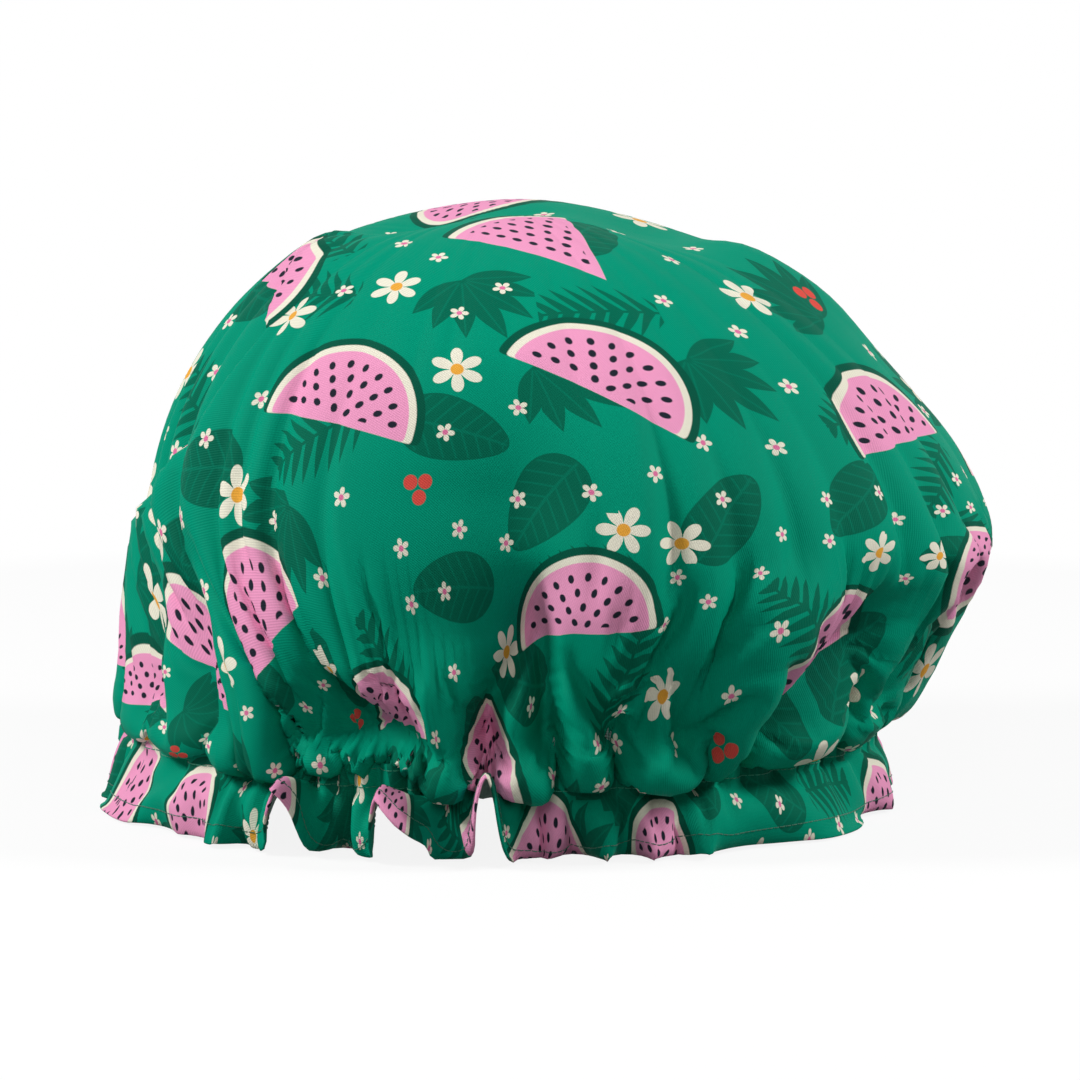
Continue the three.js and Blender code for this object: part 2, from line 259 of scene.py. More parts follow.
def front_folds(angle, radius, z):
    turn = np.degrees(angle)
    depth = np.zeros_like(angle)
    for fold_depth, left_width, right_width, fold_turns, fold_heights in FOLDS:
        off = np.radians(turn - np.interp(z, fold_heights, fold_turns)) * radius
        wall = np.exp(-(np.abs(off) / np.where(off < 0, left_width, right_width)) ** FOLD_SHARPNESS)
        top = np.clip((fold_heights[-1] - z) / FOLD_FADE, 0, 1)
        depth = np.maximum(depth, fold_depth * wall * top**1.5 * (3 - 2 * top) ** 0.5)
    left, right = ((turn - edge) / POCKET_SOFTNESS for edge in POCKET_ANGLES)
    edge_height = POCKET_TOP - POCKET_SLOPE * np.clip(turn - POCKET_ANGLES[0], 0, POCKET_SPAN)
    fallen = np.clip((edge_height - z) / POCKET_EDGE, 0, 1)
    fallen = fallen / (1 + np.exp(-2 * left)) / (1 + np.exp(2 * right))
    aside = np.radians(turn - HOLLOW_ANGLE) * radius
    hollow = np.interp(z, HOLLOW_HEIGHTS, HOLLOW_DEPTHS)
    hollow = hollow * np.exp(-((aside / np.where(aside < 0, HOLLOW_LEFT, HOLLOW_RIGHT)) ** 2))
    return np.maximum(depth, POCKET_DEPTH * fallen) + hollow


# How deep each point lies in a valley, as a share of the depth at which settling leaves the valley alone
creases = []
CREASE_HELD = 0.016


def crown_row(zone, t):
    height = crown_outline(np.radians(level), zone, t)[1] - NECK_TOP
    angle = column_angle(height)
    radius, z = crown_outline(angle, zone, t)
    risen = np.maximum(height, 0)
    depth = pleat_depth[nearest_pleat] * (1 - puff) * np.clip(risen / VALLEY_RISE, 0, 1)
    valley = depth * np.clip(1 - (height - VALLEY_RISE) / pleat_climb[nearest_pleat], 0, 1)
    in_front = np.clip((FRONT_EDGE - np.abs(level)) / FRONT_FADE, 0, 1)
    drawn = front_folds(angle, radius, z) * np.clip(risen / VALLEY_RISE, 0, 1)
    valley = valley * (1 - in_front) + drawn * in_front
    creases.append(np.clip(valley / CREASE_HELD, 0, 1))
    run_up = np.maximum(height, UNDERSIDE_RUN * (1 - t) if zone == "underside" else UNDERSIDE_RUN)
    fold_reach = FOLD_REACH + FRONT_EXTRA_REACH * in_front
    crumple = gathers * np.exp(-run_up / GATHER_REACH)
    crumple = crumple + folds * np.exp(-run_up / fold_reach) * (1 - np.exp(-run_up / FOLD_START))
    return uneven_crown(around(angle, radius - np.maximum(valley, crumple), z))


def neck_row(t):
    z = NECK_TOP + (NECK_BOTTOM - NECK_TOP) * t
    return around(column_angle(0 * level), NECK_RADIUS + GATHER_HEIGHT / 2 - gathers, z)


from_crest = np.minimum(share, 1 - share) * (pleat_angle[right_pleat] + full_turn - pleat_angle[left_pleat])
crest_width = np.where(share < 0.5, pleat_right[nearest_pleat], pleat_left[nearest_pleat])
from_crest = np.minimum(from_crest / crest_width, 1)


def frill_row(t):
    lift = pleat_lift[nearest_pleat]
    hang = np.interp(level, HANG_ANGLES, FRILL_HANG)
    arch = lift > LEVEL_LIFT
    raised = np.where(arch, np.sqrt(1 - from_crest**2), np.cos(from_crest * np.pi / 2) ** 2)
    raised = np.where(arch & (pleat_right[nearest_pleat] > WIDE_SIDE) & (share < 0.5), 1 - from_crest, raised)
    bend = np.interp(level, HANG_ANGLES, FRILL_CURL)
    start = np.radians(hang + (lift - hang) * raised + bend)
    curl = 2 * np.radians(bend)
    reach = FRILL_DEPTH * (np.cos(start - curl * t) - np.cos(start)) / curl
    drop = FRILL_DEPTH * (np.sin(start) - np.sin(start - curl * t)) / curl
    down = FRILL_DEPTH * t
    waves = FRILL_WAVES * folds * fullness * t
    ripple = (GATHER_HEIGHT / 2 - gathers) * math.exp(-down / RIPPLE_REACH) - waves
    z = np.maximum(NECK_BOTTOM - drop, LEAST_HEIGHT)
    return around(column_angle(0 * level), NECK_RADIUS + ripple + reach, z)


formed = np.array(
    [crown_row("dome", t) for t in np.linspace(0.02, 1, DOME_ROWS)]
    + [crown_row("underside", t) for t in np.linspace(0, 1, UNDERSIDE_ROWS + 2)[1:-1]]
    + [neck_row(t) for t in np.linspace(0, 1, NECK_ROWS)]
    + [frill_row(t) for t in np.linspace(0, 1, FRILL_ROWS + 1)[1:]]
)
apex = uneven_crown(np.array([NECK_X, NECK_Y, CROWN_TOP]))
CROWN = slice(0, DOME_ROWS + UNDERSIDE_ROWS)
NECK = slice(CROWN.stop, CROWN.stop + NECK_ROWS)
FRILL = slice(NECK.stop, len(formed))

# Outer cover: settling of the cloth
# The cut circle is wider round than the formed crown, so the spare cloth buckles into soft folds.
# Threads keep their length, stuffing inside keeps the broad shape, and the neck is held by the elastic.
SPARE_CLOTH = 0.85
SPARE_FROM, SPARE_FULL = 0.13, 0.21
SLACK = 1.01
SETTLING_STEPS = 150
STUFFING_PUSH = 0.00002
FRILL_WEIGHT = 0.00002
STIFFNESS = 0.02
BROAD_MODES = 6
LEAST_GAP = 0.0003
MOMENTUM = 0.85
SWEEPS = 2
ACROSS_PULL, SQUEEZE = 0.5, 0.5
DOWN_PULL, SLANT_PULL = 0.8, 0.15
# Share of the straying that each step takes back: broad shape and drawn form of the crown,
# then broad shape and arches of the frill
CROWN_BROAD, CROWN_FORM, FRILL_BROAD, FRILL_ARCH = 0.3, 0.5, 0.1, 0.6
HELD_FROM, HELD_FADE, VALLEY_HOLD = 0.095, 0.03, 0.75
TOP_ROWS = 5
SMOOTHING = 2
CROWN_SMOOTHING, FRILL_SMOOTHING = 0.03, 0.2
NECK_CLEARANCE, NECK_LIP = 0.0015, 0.004


def broad(rows):
    waves = np.fft.rfft(rows, axis=1)
    waves[:, BROAD_MODES:] = 0
    return np.fft.irfft(waves, n=COLUMNS, axis=1)


plan_radius = np.linalg.norm(formed[:, :, :2] - (NECK_X, NECK_Y), axis=-1)
mean_radius = plan_radius.mean(axis=1)
row_gap = np.linalg.norm(np.diff(formed, axis=0), axis=-1)
run = mean_radius[0] + np.concatenate([[0], np.cumsum(row_gap.mean(axis=1))])
ramp = np.clip((run - SPARE_FROM) / (SPARE_FULL - SPARE_FROM), 0, 1)
cut_radius = mean_radius + SPARE_CLOTH * ramp**2 * (3 - 2 * ramp) * np.maximum(run - mean_radius, 0)
cut_radius[NECK] = cut_radius[NECK].mean()
across = (2 * np.pi * cut_radius / COLUMNS)[:, None] * np.ones(COLUMNS)
across[CROWN] *= broad(plan_radius)[CROWN] / mean_radius[CROWN, None]
formed_gap = np.linalg.norm(np.roll(formed, -1, axis=1) - formed, axis=-1)
across[FRILL] = formed_gap[FRILL] + fullness * (across - formed_gap)[FRILL]
down = broad(row_gap) * SLACK
down[FRILL.start - 1:] = FRILL_DEPTH / FRILL_ROWS
slant = np.sqrt(((across[1:] + across[:-1]) / 2) ** 2 + down**2)
across, down, slant = across[:, :, None], down[:, :, None], slant[:, :, None]
lifted = np.clip((pleat_lift[nearest_pleat] - LEVEL_LIFT) / LEVEL_FADE, 0, 1) * np.sqrt(1 - from_crest)


def pull(first, second, length, strength, squeeze=1.0):
    reach = second - first
    distance = np.linalg.norm(reach, axis=-1, keepdims=True) + 1e-9
    error = distance - length
    return reach * (0.5 * strength * np.where(error < 0, error * squeeze, error) / distance)


def keep_apart(first, second):
    out = first[..., :2] - (NECK_X, NECK_Y)
    distance = np.linalg.norm(out, axis=-1, keepdims=True) + 1e-9
    aside = np.stack([-out[..., 1], out[..., 0]], axis=-1) / distance
    passed = ((second - first)[..., :2] * aside).sum(axis=-1, keepdims=True)
    return 0.5 * np.maximum(LEAST_GAP - passed, 0) * np.concatenate([aside, 0 * aside[..., :1]], axis=-1)


def outward(rows):
    beside = np.roll(rows, -1, axis=1) - np.roll(rows, 1, axis=1)
    below = np.empty_like(rows)
    below[0] = rows[1] - apex
    below[1:-1] = rows[2:] - rows[:-2]
    below[-1] = rows[-1] - rows[-2]
    normal = np.cross(below, beside)
    return normal / (np.linalg.norm(normal, axis=-1, keepdims=True) + 1e-12)


def bending(rows):
    bend = np.roll(rows, 1, axis=1) + np.roll(rows, -1, axis=1) - 2 * rows
    bend[1:-1] += rows[2:] + rows[:-2] - 2 * rows[1:-1]
    return bend


def hold(rows):
    rows[:TOP_ROWS] = formed[:TOP_ROWS]
    rows[:, :, 2] = np.maximum(rows[:, :, 2], LEAST_HEIGHT)
    rows[NECK] = formed[NECK]


kept = np.clip((formed[CROWN, :, 2:] - HELD_FROM) / HELD_FADE, 0, 1)
kept = np.maximum(kept, VALLEY_HOLD * np.array(creases)[:, :, None] ** 2)
cloth = formed.copy()
before = cloth.copy()
for step in range(SETTLING_STEPS):
    moving = MOMENTUM * (cloth - before)
    before = cloth.copy()
    cloth += moving
    cloth[CROWN] += STUFFING_PUSH * outward(cloth)[CROWN]
    cloth[FRILL, :, 2] -= FRILL_WEIGHT
    for sweep in range(SWEEPS):
        even, odd = cloth[:, 0::2], cloth[:, 1::2]
        move = pull(even, odd, across[:, 0::2], ACROSS_PULL, SQUEEZE) - keep_apart(even, odd)
        even += move
        odd -= move
        after = np.roll(even, -1, axis=1)
        move = pull(odd, after, across[:, 1::2], ACROSS_PULL, SQUEEZE) - keep_apart(odd, after)
        odd += move
        even -= np.roll(move, 1, axis=1)
        for start in (0, 1):
            upper, lower = cloth[start:-1:2], cloth[start + 1::2]
            move = pull(upper, lower, down[start::2], DOWN_PULL)
            upper += move
            lower -= move
            for side in (-1, 1):
                move = pull(upper, np.roll(lower, side, axis=1), slant[start::2], SLANT_PULL)
                upper += move
                lower -= np.roll(move, -side, axis=1)
        cloth[NECK] = formed[NECK]
    cloth += STIFFNESS * bending(cloth)
    strayed = cloth - formed
    astray = broad(strayed)
    cloth[CROWN] -= CROWN_BROAD * astray[CROWN] + CROWN_FORM * kept * (strayed - astray)[CROWN]
    cloth[FRILL] -= FRILL_BROAD * astray[FRILL] + FRILL_ARCH * lifted[:, None] * strayed[FRILL]
    hold(cloth)
for smoothing in range(SMOOTHING):
    bend = bending(cloth)
    cloth[CROWN] += CROWN_SMOOTHING * bend[CROWN]
    cloth[FRILL] += FRILL_SMOOTHING * bend[FRILL]
hold(cloth)
# Lining and elastic keep the lowest gathers of the crown from falling in over the neck
from_neck = cloth[CROWN, :, :2] - (NECK_X, NECK_Y)
fallen_in = np.linalg.norm(from_neck, axis=-1, keepdims=True)
held_off = NECK_RADIUS - NECK_CLEARANCE - np.maximum(cloth[CROWN, :, 2:] - NECK_TOP - NECK_LIP, 0)
cloth[CROWN, :, :2] = (NECK_X, NECK_Y) + from_neck * np.maximum(held_off / fallen_in, 1)

# Outer cover: hem turned under
# The cut edge is folded to the inside as a strip 7 mm deep, which shows the printed side from within.
# The fold is round, and the strip lies just inside the frill.
CLOTH_THICKNESS = 0.0003
HEM_STRIP = 0.007
FOLD_RADIUS = 0.00045
FLOOR_GAP = 0.0002
frill_out = outward(cloth)
hem_edge = cloth[-1]
edge_down = hem_edge - cloth[-2]
edge_down /= np.linalg.norm(edge_down, axis=-1, keepdims=True)
hem_rows = []
for bend in (60, 120, 180):
    turn = math.radians(bend)
    inward = FOLD_RADIUS * (1 - math.cos(turn))
    hem_rows.append(hem_edge + FOLD_RADIUS * math.sin(turn) * edge_down - inward * frill_out[-1])
for climb in (0.0012, 0.003, 0.005, HEM_STRIP):
    place = len(cloth) - 1 - climb * FRILL_ROWS / FRILL_DEPTH
    row = int(place)
    above = cloth[row] + (place - row) * (cloth[row + 1] - cloth[row])
    hem_rows.append(above - 2 * FOLD_RADIUS * frill_out[row])
cover_rows = np.concatenate([cloth, hem_rows])
cover_rows[:, :, 2] = np.maximum(cover_rows[:, :, 2], FLOOR_GAP)
strip_run = run[-1] + np.array([0.0005, 0.001, 0.0015, 0.0027, 0.0045, 0.0065, 0.0085])
cover_run = np.concatenate([run, strip_run])
cover_cut = np.concatenate([cut_radius, np.full(len(hem_rows), cut_radius[-1])])

# Outer cover: mesh and the place of each point on the cut cloth
# Rows run from the top of the crown to the hem, and columns follow the pleats.
# Print and weave are laid out on the cloth before it is gathered, as the real ones were.


def sheet_faces(row_count, columns, closed_top):
    ring = np.arange(columns)
    beside = (ring + 1) % columns
    first = 1 if closed_top else 0
    faces = [(0, first + j, first + k) for j, k in zip(ring, beside)] if closed_top else []
    for row in range(row_count - 1):
        upper = first + row * columns
        lower = upper + columns
        faces += list(zip(upper + ring, lower + ring, lower + beside, upper + beside))
    return faces


def add_piece(name, points, faces, materials):
    mesh = bpy.data.meshes.new(name)
    mesh.from_pydata(np.asarray(points).tolist(), [], [tuple(map(int, face)) for face in faces])
    mesh.polygons.foreach_set("use_smooth", [True] * len(mesh.polygons))
    for material in materials:
        mesh.materials.append(material)
    piece = bpy.data.objects.new(name, mesh)
    bpy.context.scene.collection.objects.link(piece)
    return piece


def finish_material(name, roughness):
    material = bpy.data.materials.new(name)
    material.use_nodes = True
    shader = material.node_tree.nodes["Principled BSDF"]
    shader.inputs["Roughness"].default_value = roughness
    return material, material.node_tree, shader


def colour(red, green, blue):
    steps = [value / 255 for value in (red, green, blue)]
    return tuple(v / 12.92 if v <= 0.04045 else ((v + 0.055) / 1.055) ** 2.4 for v in steps) + (1,)


printed_cloth, cloth_tree, cloth_shader = finish_material("printed_cloth", 0.6)
cloth_reverse, reverse_tree, reverse_shader = finish_material("cloth_reverse", 0.75)
cover_points = np.vstack([[apex], cover_rows.reshape(-1, 3)])
cover_faces = sheet_faces(len(cover_rows), COLUMNS, True)
cover = add_piece("outer_cover_cloth", cover_points, cover_faces, [printed_cloth, cloth_reverse])
corner_count = len(cover.data.loops)
corner_point = np.empty(corner_count, int)
cover.data.loops.foreach_get("vertex_index", corner_point)
face_size = np.empty(len(cover.data.polygons), int)
cover.data.polygons.foreach_get("loop_total", face_size)
corner_face = np.repeat(np.arange(len(face_size)), face_size)
point_run = np.concatenate([[0], np.repeat(cover_run, COLUMNS)])
point_turn = np.concatenate([[0], np.tile(2 * np.pi * cloth_share, len(cover_rows))])
corner_run, corner_turn = point_run[corner_point], point_turn[corner_point]
face_first = np.concatenate([[0], np.cumsum(face_size)[:-1]])
first_turn = corner_turn[face_first + 1][corner_face]
corner_turn = np.where(corner_point == 0, first_turn, corner_turn)
corner_turn += 2 * np.pi * np.round((first_turn - corner_turn) / (2 * np.pi))
face_run = np.bincount(corner_face, corner_run) / face_size
face_turn = np.bincount(corner_face, corner_turn) / face_size
cut_fall = np.sqrt(np.maximum(np.diff(cover_run) ** 2 - np.diff(cover_cut) ** 2, 0))
cut_height = -np.concatenate([[0], np.cumsum(cut_fall)])


def on_cut(run_out, turn):
    radius = np.interp(run_out, cover_run, cover_cut)
    height = np.interp(run_out, cover_run, cut_height)
    return np.stack([radius * np.sin(turn), -radius * np.cos(turn), height], axis=-1)


weave_map = cover.data.uv_layers.new(name="weave")
weave_place = np.stack([corner_run * np.sin(corner_turn), corner_run * np.cos(corner_turn)], axis=-1)
weave_map.data.foreach_set("uv", weave_place.ravel())

# Outer cover: layout of the print
# The print is a free scatter of fruit slices, plain leaves and small blossoms in flat inks.
# Each motif keeps its own size and turn on the cut cloth and folds with it.
ROW_CHANCE = cover_cut * np.gradient(cover_run)
ROW_CHANCE /= ROW_CHANCE.sum()
TRIES, ROW_SPREAD = 40, 0.003
SLICES, LEAVES, BLOSSOMS = 40, 124, 350
CLEAR_OF_SLICES = 0.036
CHUNKS, LEAST_SLOPE = 40, 0.05


def scatter(count, spin, keep_off=None, clear=0.0):
    runs, turns, places = [], [], np.empty((0, 3))
    while len(runs) < count:
        tries = chance.choice(cover_run, TRIES, p=ROW_CHANCE) + ROW_SPREAD * chance.rand(TRIES)
        turned = 2 * np.pi * chance.rand(TRIES)
        spots = on_cut(tries, turned)
        room = np.full(TRIES, 1.0)
        if len(runs):
            room = np.linalg.norm(spots[:, None] - places, axis=-1).min(axis=1)
        if keep_off is not None:
            room[np.linalg.norm(spots[:, None] - keep_off, axis=-1).min(axis=1) < clear] = 0
        best = room.argmax()
        runs.append(tries[best])
        turns.append(turned[best])
        places = np.vstack([places, spots[best]])
    return np.array(runs), np.array(turns), spin * (2 * chance.rand(count) - 1), chance.rand(count), places


def print_layer(name, runs, turns, spins, kinds, places):
    spots = on_cut(face_run, face_turn)
    nearest = np.empty(len(spots), int)
    for part in np.array_split(np.arange(len(spots)), CHUNKS):
        nearest[part] = np.linalg.norm(spots[part, None] - places, axis=-1).argmin(axis=1)
    motif = nearest[corner_face]
    slope = np.clip(np.interp(runs, cover_run, np.gradient(cover_cut, cover_run)), LEAST_SLOPE, 1)[motif]
    cone = np.interp(runs, cover_run, cover_cut)[motif] / slope
    swung = corner_turn - turns[motif]
    swung -= 2 * np.pi * np.round((face_turn[corner_face] - turns[motif]) / (2 * np.pi))
    reach = cone + corner_run - runs[motif]
    x, y = reach * np.sin(swung * slope), cone - reach * np.cos(swung * slope)
    c, s = np.cos(spins[motif]), np.sin(spins[motif])
    place = 1000 * np.stack([c * x - s * y, s * x + c * y, kinds[motif] / 1000], axis=-1)
    layer = cover.data.attributes.new(name, "FLOAT_VECTOR", "CORNER")
    layer.data.foreach_set("vector", place.ravel())


slices = scatter(SLICES, 0.7)
leaves = scatter(LEAVES, 2.6)
blossoms = scatter(BLOSSOMS, 3.1, slices[4], CLEAR_OF_SLICES)
for name, layout in (("slices", slices), ("leaves", leaves), ("blossoms", blossoms)):
    print_layer(name, *layout)

# Outer cover: inks and weave
# Flat inks on a satin twill: pink slices with dark seeds, green leaves, cream blossoms and coral berries.
# The twill's fine ribs catch the light as bumps, and a painted highlight lightens the ink on each rib and
# darkens it between them.
TWILL_RIB, TWILL_CROSS, TWILL_HEIGHT = 0.00075, 0.0011, 0.00008
# Motifs are drawn in millimetres, and a number from 0 to 1 picks the kind of each
HALVES, WEDGES = 0.5, 0.8
FANS, BROADS = 0.4, 0.72
DAISIES, BERRIES = 0.18, 0.28
SEED_RING = 4.5
BLADE_TURN, LEAF_HALF = 0.42, 20
# Added to the edge of what a kind doesn't have, so that it isn't drawn
LEFT_OUT = 9


class Field:
    def __init__(self, tree, socket):
        self.tree, self.socket = tree, socket

    def do(self, operation, *others):
        node = self.tree.nodes.new("ShaderNodeMath")
        node.operation = operation
        for slot, value in zip(node.inputs, (self,) + others):
            if isinstance(value, Field):
                self.tree.links.new(value.socket, slot)
            else:
                slot.default_value = value
        return Field(self.tree, node.outputs[0])

    __add__ = partialmethod(do, "ADD")
    __sub__ = partialmethod(do, "SUBTRACT")
    __mul__ = partialmethod(do, "MULTIPLY")
    __truediv__ = partialmethod(do, "DIVIDE")
    __pow__ = partialmethod(do, "POWER")
    __lt__ = partialmethod(do, "LESS_THAN")
    __gt__ = partialmethod(do, "GREATER_THAN")
    least = partialmethod(do, "MINIMUM")
    most = partialmethod(do, "MAXIMUM")
    size = partialmethod(do, "ABSOLUTE")

    def ink(self, softness=0.3):
        return (self * (-1 / softness) + 0.5).clamped()

    def clamped(self):
        self.socket.node.use_clamp = True
        return self


def length(x, y):
    return (x * x + y * y).do("SQRT")


def fields(tree, vector):
    split = tree.nodes.new("ShaderNodeSeparateXYZ")
    tree.links.new(vector, split.inputs[0])
    return [Field(tree, socket) for socket in split.outputs]


def position(tree):
    return tree.nodes.new("ShaderNodeNewGeometry").outputs["Position"]


def pattern(name, entry, outputs, draw):
    tree = bpy.data.node_groups.new(name, "ShaderNodeTree")
    tree.interface.new_socket(entry, in_out="INPUT", socket_type="NodeSocketVector")
    enter, leave = tree.nodes.new("NodeGroupInput"), tree.nodes.new("NodeGroupOutput")
    for output, mask in zip(outputs, draw(*fields(tree, enter.outputs[0]))):
        tree.interface.new_socket(output, in_out="OUTPUT", socket_type="NodeSocketFloat")
        tree.links.new(mask.socket, leave.inputs[output])
    return tree


def draw_slice(x, y, kind):
    half, wedge, whole = kind < HALVES, (kind > HALVES) * (kind < WEDGES), kind > WEDGES
    x, y = x * 0.82, y * 0.82 + half * 11 + wedge * 27
    rim = half * 27 + wedge * 47 + whole * 21
    r = length(x, y)
    cut = y * -1 * half + (x.size() * 0.89 - y * 0.454) * wedge - whole * 60
    shape = (r - rim).do("SMOOTH_MAX", cut, 3)
    flesh = (r - rim + 4.6).do("SMOOTH_MAX", cut, 2)
    band = (r - rim + 2.4).do("SMOOTH_MAX", cut, 2)
    angle = x.do("ARCTAN2", y)
    circle = (r / SEED_RING).do("ROUND")
    count = circle * 5 + 1
    cell = angle * count * (1 / (2 * math.pi)) + circle * 0.37
    beside = (cell - cell.do("ROUND")) * 2 * math.pi * r / count
    across = r - circle * SEED_RING
    seed = length(beside * 1.2, across * 0.85) - 1.15
    seeds = seed.most(flesh + 2.2).most(circle * -1 + 0.5)
    return shape.ink(), band.ink(), flesh.ink(), seeds.ink()


def draw_leaf(x, y, kind):
    fan, broad_leaf, frond = kind < FANS, (kind > FANS) * (kind < BROADS), kind > BROADS
    base = y + 15
    r, angle = length(x, base), x.do("ARCTAN2", base)
    blade = (angle / BLADE_TURN).do("ROUND").most(-3).least(3)
    reach = blade.size() * -3.2 + 33
    along = (r / reach).least(1)
    off_blade = (r * (angle - blade * BLADE_TURN).do("SINE")).size()
    fan_edge = (off_blade - (along * math.pi).do("SINE") * 4.4).most(r - reach)
    fan_vein = off_blade - 0.3
    rise = y / LEAF_HALF
    bulge = (rise * rise * -1 + 1).most(0).do("SQRT") * (rise * -3.2 + 11.5)
    broad_edge = (x.size() - bulge).most(rise.size() * LEAF_HALF - LEAF_HALF)
    slanted = y - x.size() * 0.62
    broad_vein = ((slanted / 5).do("FRACT") - 0.5).size() * 5 - 0.4
    broad_vein = broad_vein.least(x.size() - 0.5)
    spread = (rise * rise * -0.8 + 1).most(0).do("SQRT") * 14
    leaflet = ((slanted / 5.2).do("FRACT") - 0.5).size() * 5.2
    taper = (x.size() / spread).least(1)
    frond_edge = leaflet - (taper * taper * -1 + 1) * 1.9
    frond_edge = frond_edge.most(x.size() - spread).least(x.size() - 0.6)
    frond_edge = frond_edge.most(rise.size() * LEAF_HALF - (LEAF_HALF + 1))
    edge = fan_edge * fan + broad_edge * broad_leaf + frond_edge * frond
    vein = fan_vein * fan + broad_vein * broad_leaf + frond * 5
    return edge.ink(), vein.most(edge + 0.8).ink(0.5)


def draw_blossom(x, y, kind):
    daisy, berries, sprig = kind < DAISIES, (kind > DAISIES) * (kind < BERRIES), kind > BERRIES
    r, angle = length(x, y), x.do("ARCTAN2", y)
    daisy_edge = r - (angle * 3).do("COSINE").size() ** 0.55 * 9.2
    sprig_edge = r - (angle * 2.5).do("COSINE").size() ** 0.5 * 3.3
    petals = daisy_edge.least(r - 2.6) * daisy + sprig_edge * sprig + berries * LEFT_OUT
    heart = r - 2.3 + (berries + sprig) * LEFT_OUT
    eye = (r - 1.0) + (berries + daisy) * LEFT_OUT
    drops = (length(x + 3.1, y + 1.5) - 2.5).least(length(x - 2.9, y + 2.3) - 2.5)
    drops = drops.least(length(x - 0.2, y - 2.6) - 2.5) + (daisy + sprig) * LEFT_OUT
    glint = (length(x + 3.7, y + 0.9) - 0.6).least(length(x - 2.3, y + 1.7) - 0.6)
    glint = glint.least(length(x + 0.4, y - 3.2) - 0.6) + (daisy + sprig) * LEFT_OUT
    return petals.least(glint).ink(), heart.ink(), eye.ink(), drops.ink()


def draw_twill(x, y, _):
    rib = ((x * 0.8 + y * 0.6) * (2 * math.pi / TWILL_RIB)).do("SINE") * 0.5 + 0.5
    cross = ((x * 0.6 - y * 0.8) * (2 * math.pi / TWILL_CROSS)).do("SINE") * 0.5 + 0.5
    return (rib * (cross * 0.35 + 0.65),)


slice_print = pattern("fruit_slices", "Place", ("Rind", "Band", "Flesh", "Seeds"), draw_slice)
leaf_print = pattern("plain_leaves", "Place", ("Leaf", "Vein"), draw_leaf)
blossom_print = pattern("small_blossoms", "Place", ("Petals", "Heart", "Eye", "Berries"), draw_blossom)
twill = pattern("twill", "Cloth", ("Rib",), draw_twill)


def place_group(tree, group, map_name, uv=False):
    source = tree.nodes.new("ShaderNodeUVMap" if uv else "ShaderNodeAttribute")
    if uv:
        source.uv_map = map_name
    else:
        source.attribute_name = map_name
    node = tree.nodes.new("ShaderNodeGroup")
    node.node_tree = group
    tree.links.new(source.outputs["UV" if uv else "Vector"], node.inputs[0])
    return node.outputs


def over(tree, under, ink, mask):
    mix = tree.nodes.new("ShaderNodeMix")
    mix.data_type = "RGBA"
    for slot, value in ((mix.inputs["Factor"], mask), (mix.inputs["A"], under), (mix.inputs["B"], ink)):
        if isinstance(value, bpy.types.NodeSocket):
            tree.links.new(value, slot)
        else:
            slot.default_value = value
    return mix.outputs["Result"]


def bump(tree, shader, height, distance):
    node = tree.nodes.new("ShaderNodeBump")
    node.inputs["Strength"].default_value = 1
    node.inputs["Distance"].default_value = distance
    tree.links.new(height, node.inputs["Height"])
    tree.links.new(node.outputs["Normal"], shader.inputs["Normal"])


def between(tree, share, low, high):
    node = tree.nodes.new("ShaderNodeMapRange")
    tree.links.new(share, node.inputs["Value"])
    node.inputs["To Min"].default_value = low
    node.inputs["To Max"].default_value = high
    return node.outputs["Result"]


GROUND = colour(0, 147, 116)
CREAM = colour(240, 236, 216)
INKS = {
    "Leaf": colour(4, 104, 80),
    "Vein": colour(4, 118, 92),
    "Petals": CREAM,
    "Heart": colour(240, 172, 66),
    "Eye": colour(230, 120, 165),
    "Berries": colour(226, 84, 74),
    "Rind": colour(6, 86, 66),
    "Band": CREAM,
    "Flesh": colour(244, 160, 200),
    "Seeds": colour(34, 40, 50),
}


def printed_colour(tree):
    ink = GROUND
    for group, layer in ((leaf_print, "leaves"), (blossom_print, "blossoms"), (slice_print, "slices")):
        for mask in place_group(tree, group, layer):
            ink = over(tree, ink, INKS[mask.name], mask)
    return ink


ink = printed_colour(cloth_tree)
rib = place_group(cloth_tree, twill, "weave", uv=True)["Rib"]
# Painted highlight on the twill: the ink is scaled from 0.9 between the ribs to 1.05 on them
painted_rib_highlight = cloth_tree.nodes.new("ShaderNodeVectorMath")
painted_rib_highlight.operation = "SCALE"
cloth_tree.links.new(ink, painted_rib_highlight.inputs[0])
cloth_tree.links.new(between(cloth_tree, rib, 0.9, 1.05), painted_rib_highlight.inputs["Scale"])
cloth_tree.links.new(painted_rib_highlight.outputs["Vector"], cloth_shader.inputs["Base Color"])
cloth_shader.inputs["Specular IOR Level"].default_value = 0.03
bump(cloth_tree, cloth_shader, rib, TWILL_HEIGHT)

reverse_ink = printed_colour(reverse_tree)
rib = place_group(reverse_tree, twill, "weave", uv=True)["Rib"]
washed = over(reverse_tree, colour(176, 198, 190), reverse_ink, 0.12)
threads = over(reverse_tree, washed, colour(120, 150, 140), rib)
reverse_tree.links.new(threads, reverse_shader.inputs["Base Color"])
bump(reverse_tree, reverse_shader, rib, TWILL_HEIGHT)

thickness = cover.modifiers.new("thickness", "SOLIDIFY")
thickness.thickness = CLOTH_THICKNESS
thickness.offset = -1
thickness.material_offset = 1
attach(cover, "root")
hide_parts("outer_cover")

